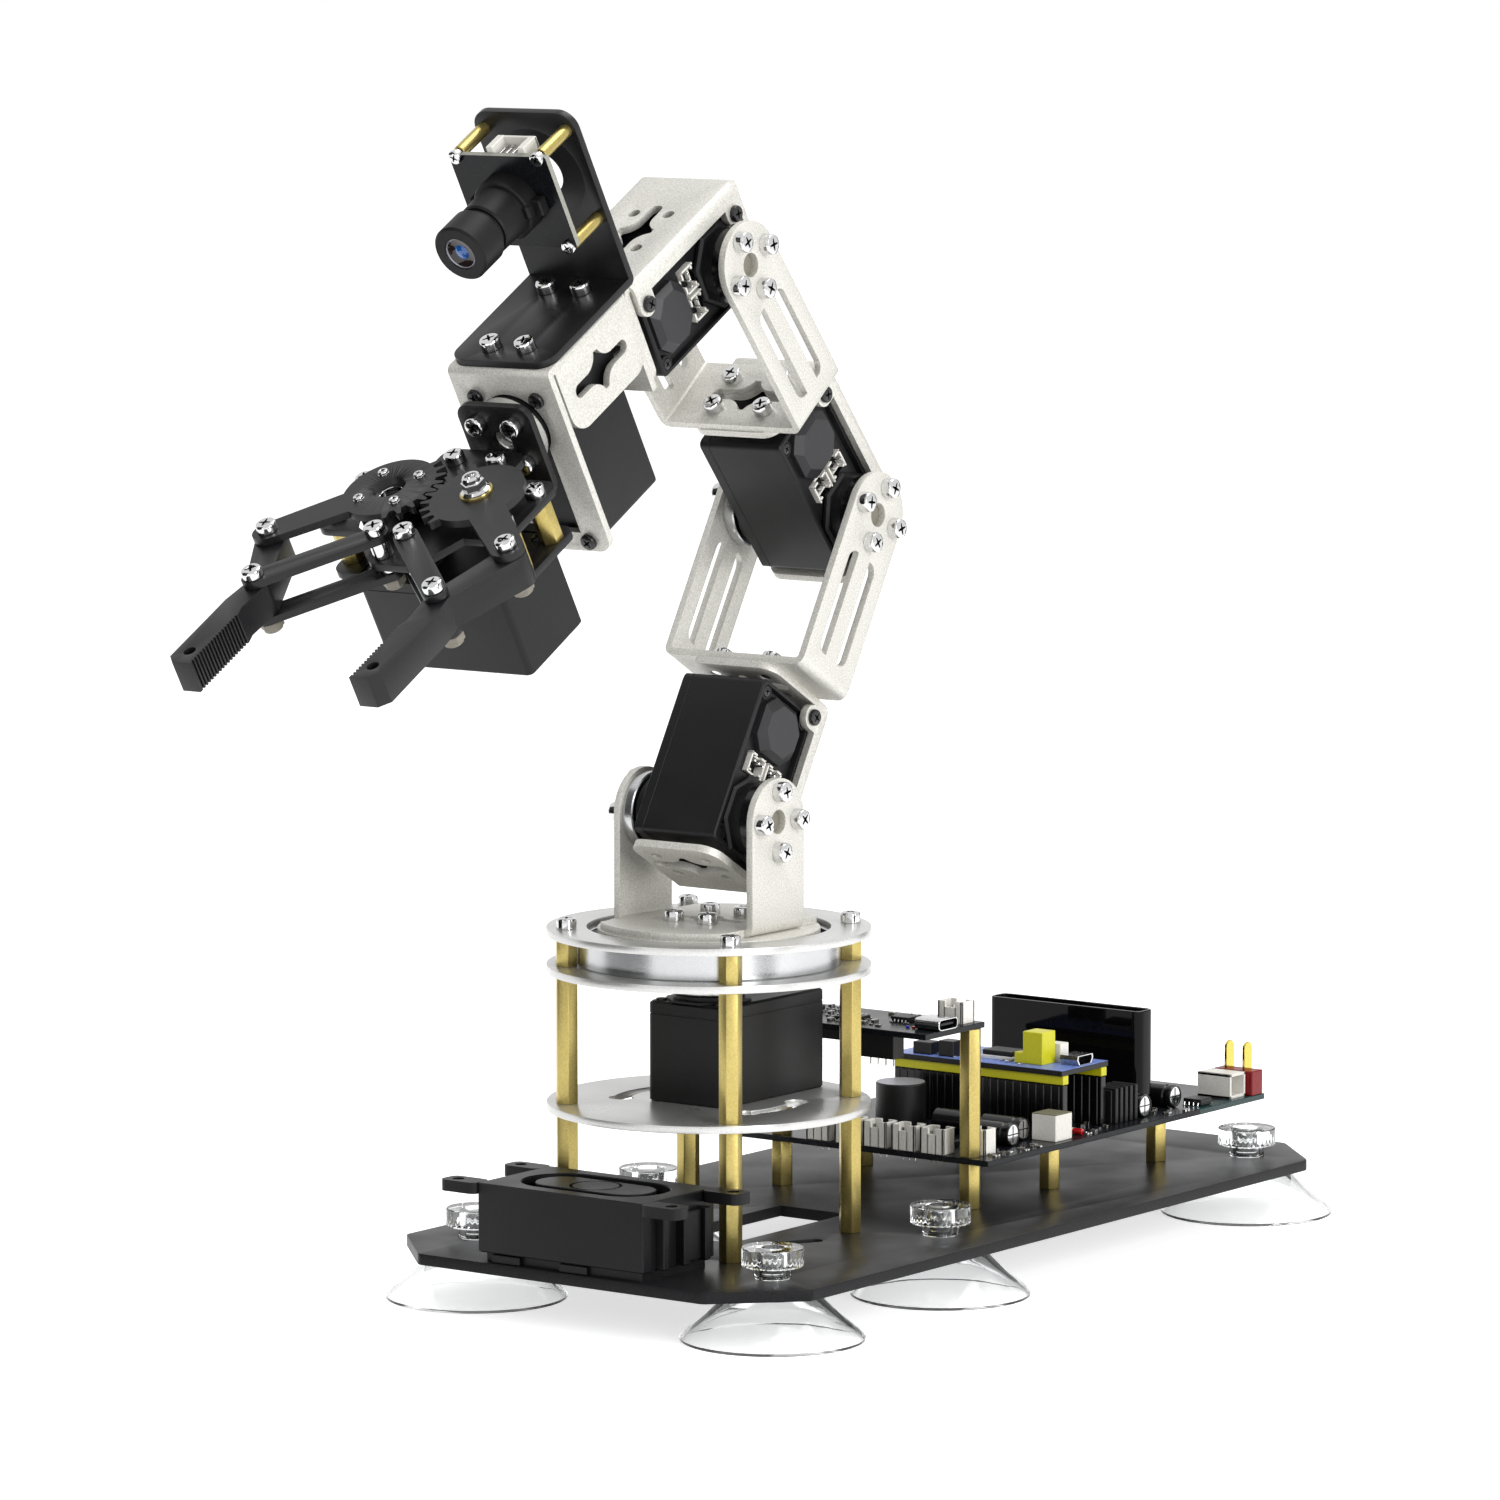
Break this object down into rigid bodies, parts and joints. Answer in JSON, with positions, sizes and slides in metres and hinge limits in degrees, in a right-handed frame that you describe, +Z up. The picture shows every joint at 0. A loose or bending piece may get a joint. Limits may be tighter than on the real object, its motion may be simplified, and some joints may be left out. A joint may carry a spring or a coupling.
{
  "type": "robot arm",
  "caption": "Desktop robot arm: turntable base, bent-plate links, camera and geared parallel gripper on a suction-cup base plate with control boards.",
  "frame": {"origin": "under the middle of the arm's bounding box at rest, at the level of the suction cups' rims; the base's turning axis is 16.3 mm in front of it", "axes": "+X to the right across the base plate, +Y towards its back where the electronics are, +Z up"},
  "size_m": [0.1452, 0.3933, 0.3164],
  "materials": {
    "black_anodised": "satin",
    "silver_sheet": "bead-blasted, clear anodised",
    "bearing_steel": "turned",
    "screw_steel": "polished",
    "brass": "machined",
    "clear_cup": "clear soft plastic",
    "clear_nut": "clear moulded plastic",
    "servo_black": "moulded",
    "board_black": "solder-mask",
    "board_blue": "solder-mask",
    "white_plastic": "moulded",
    "black_plastic": "moulded",
    "red_plastic": "moulded",
    "rubber": "matt"
  },
  "bodies": {
    "base": {"base_plate": "black_anodised", "suction_cups": "clear_cup", "cup_nuts": "clear_nut", "lower_disc": "silver_sheet", "middle_disc": "silver_sheet", "top_disc": "silver_sheet", "disc_standoffs": "brass", "disc_screws": "screw_steel", "bearing_outer_ring": "bearing_steel", "bearing_balls": "bearing_steel", "base_servo": "servo_black", "speaker_box": "servo_black", "speaker_cone": "rubber", "main_board": "board_black", "board_standoffs": "brass", "upper_board": "board_black", "header_strips": "black_plastic", "core_board": "board_blue", "servo_sockets": "white_plastic", "capacitors": "black_plastic", "board_chips": "black_plastic", "power_connector": "red_plastic", "interface_module": "black_plastic"},
    "turntable": {"bearing_inner_ring": "bearing_steel", "turntable_plate": "silver_sheet", "turntable_hub": "screw_steel", "shoulder_bracket": "silver_sheet", "turntable_screws": "screw_steel", "shoulder_horns": "screw_steel"},
    "upper_arm": {"shoulder_servo": "servo_black", "shoulder_servo_bracket": "silver_sheet", "upper_arm_bracket": "silver_sheet", "upper_arm_screws": "screw_steel", "elbow_horns": "screw_steel"},
    "forearm": {"elbow_servo": "servo_black", "elbow_servo_bracket": "silver_sheet", "forearm_bracket": "silver_sheet", "forearm_screws": "screw_steel", "wrist_horns": "screw_steel"},
    "wrist": {"wrist_servo": "servo_black", "wrist_servo_bracket": "silver_sheet", "roll_servo": "servo_black", "roll_bracket": "silver_sheet", "wrist_screws": "screw_steel", "camera_bracket": "black_anodised", "camera_board": "board_black", "camera_posts": "brass", "camera_lens": "black_plastic"},
    "gripper": {"roll_horn": "screw_steel", "gripper_mount": "black_anodised", "gripper_plates": "black_anodised", "gripper_servo": "servo_black", "gripper_posts": "brass", "gripper_bolts": "screw_steel"},
    "left_crank": {"left_gear_crank": "black_anodised"},
    "right_crank": {"right_gear_crank": "black_anodised"},
    "left_link_bars": {"left_link": "black_anodised"},
    "right_link_bars": {"right_link": "black_anodised"},
    "left_finger_body": {"left_finger": "black_anodised"},
    "right_finger_body": {"right_finger": "black_anodised"}
  },
  "joints": [
    {"name": "base_yaw", "type": "hinge", "parent": "base", "child": "turntable", "pos_m": [0, -0.0163, 0.0979], "axis": [0, 0, 1], "range_deg": [-120, 120]},
    {"name": "shoulder_pitch", "type": "hinge", "parent": "turntable", "child": "upper_arm", "pos_m": [0, -0.0163, 0.1284], "axis": [1, 0, 0], "range_deg": [-55, 60]},
    {"name": "elbow_pitch", "type": "hinge", "parent": "upper_arm", "child": "forearm", "pos_m": [0, 0.02865, 0.20579], "axis": [-1, 0, 0], "range_deg": [-30, 80]},
    {"name": "wrist_pitch", "type": "hinge", "parent": "forearm", "child": "wrist", "pos_m": [0, -0.02852, 0.27465], "axis": [1, 0, 0], "range_deg": [-90, 30]},
    {"name": "wrist_roll", "type": "hinge", "parent": "wrist", "child": "gripper", "pos_m": [0, -0.10003, 0.23452], "axis": [0, -0.866, -0.5], "range_deg": [-90, 90]},
    {"name": "grip", "type": "hinge", "parent": "gripper", "child": "left_crank", "pos_m": [-0.014, -0.13169, 0.22155], "axis": [0, -0.5, 0.866], "range_deg": [-8, 49]},
    {"name": "right_crank_turn", "type": "hinge", "parent": "gripper", "child": "right_crank", "pos_m": [0.014, -0.13169, 0.22155], "axis": [0, -0.5, 0.866], "range_deg": [-49, 8]},
    {"name": "left_link_turn", "type": "hinge", "parent": "gripper", "child": "left_link_bars", "pos_m": [-0.0047, -0.14578, 0.20695], "axis": [0, -0.5, 0.866], "range_deg": [-8, 49]},
    {"name": "right_link_turn", "type": "hinge", "parent": "gripper", "child": "right_link_bars", "pos_m": [0.0047, -0.14578, 0.20695], "axis": [0, -0.5, 0.866], "range_deg": [-49, 8]},
    {"name": "left_finger_turn", "type": "hinge", "parent": "left_crank", "child": "left_finger_body", "pos_m": [-0.038, -0.1476, 0.2059], "axis": [0, -0.5, 0.866], "range_deg": [-49, 8]},
    {"name": "right_finger_turn", "type": "hinge", "parent": "right_crank", "child": "right_finger_body", "pos_m": [0.038, -0.1476, 0.2059], "axis": [0, -0.5, 0.866], "range_deg": [-8, 49]}
  ],
  "couplings": [
    {"joint": "right_crank_turn", "follows": "grip", "ratio": -1},
    {"joint": "left_link_turn", "follows": "grip", "ratio": 1},
    {"joint": "right_link_turn", "follows": "grip", "ratio": -1},
    {"joint": "left_finger_turn", "follows": "grip", "ratio": -1},
    {"joint": "right_finger_turn", "follows": "grip", "ratio": 1}
  ]
}
